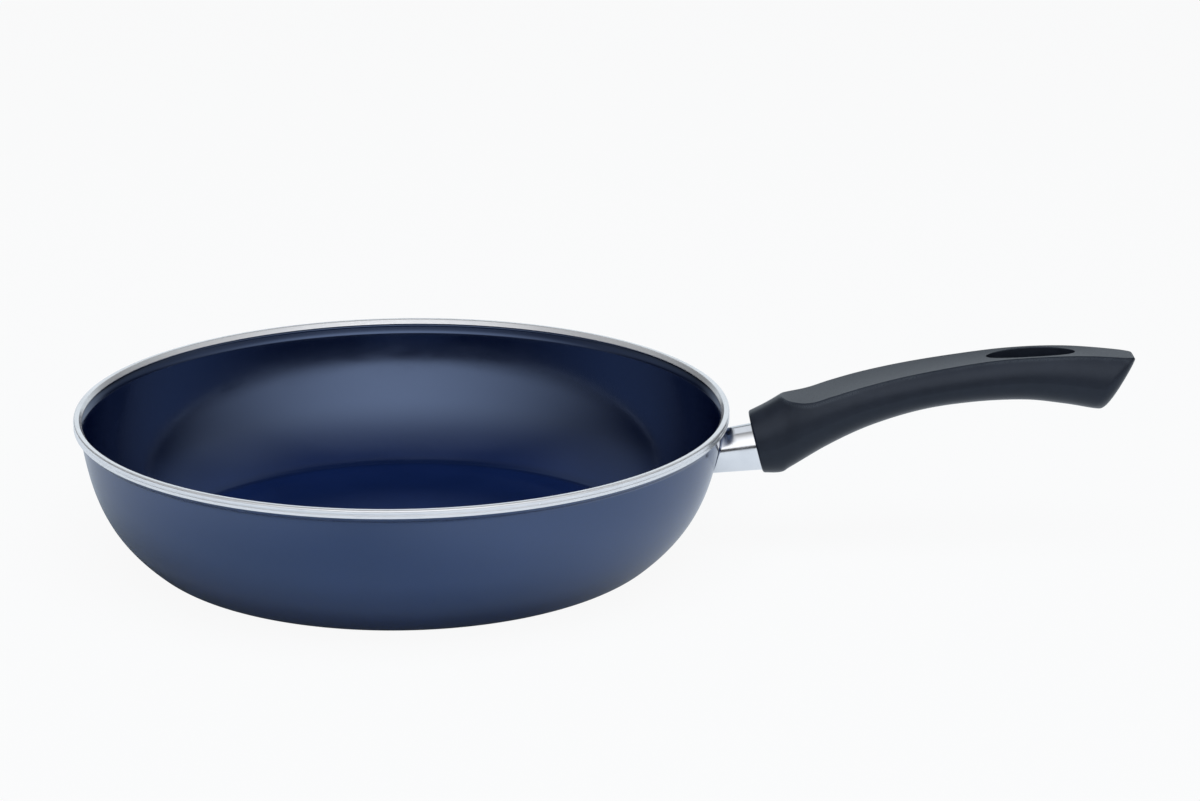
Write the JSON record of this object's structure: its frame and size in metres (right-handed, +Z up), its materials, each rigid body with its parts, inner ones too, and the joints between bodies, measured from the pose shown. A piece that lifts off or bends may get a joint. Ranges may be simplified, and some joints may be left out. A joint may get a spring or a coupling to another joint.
{
  "type": "frying pan",
  "caption": "Enamelled steel frying pan: a round flared bowl with a bright crimped rim ring and a curved moulded handle with a thumb facet and a hang eye.",
  "frame": {"origin": "middle of the flat standing face, on the bowl's axis", "axes": "+Z up along the bowl's axis, +X along the handle away from the bowl, +Y to the left of the handle"},
  "size_m": [0.4559, 0.282, 0.0888],
  "materials": {
    "enamel": "glossy vitreous enamel on pressed steel",
    "stainless": "bright stainless sheet",
    "phenolic": "matte, fine-grained phenolic moulding",
    "zinc": "zinc-plated steel"
  },
  "bodies": {
    "root": {"pan_body": "enamel", "rim_ring": "stainless", "handle_bracket": "enamel", "bracket_nut": "zinc", "flame_guard": "stainless", "handle_grip": "phenolic", "handle_screw": "zinc", "lock_washer": "zinc", "flat_washer": "zinc"}
  },
  "joints": []
}
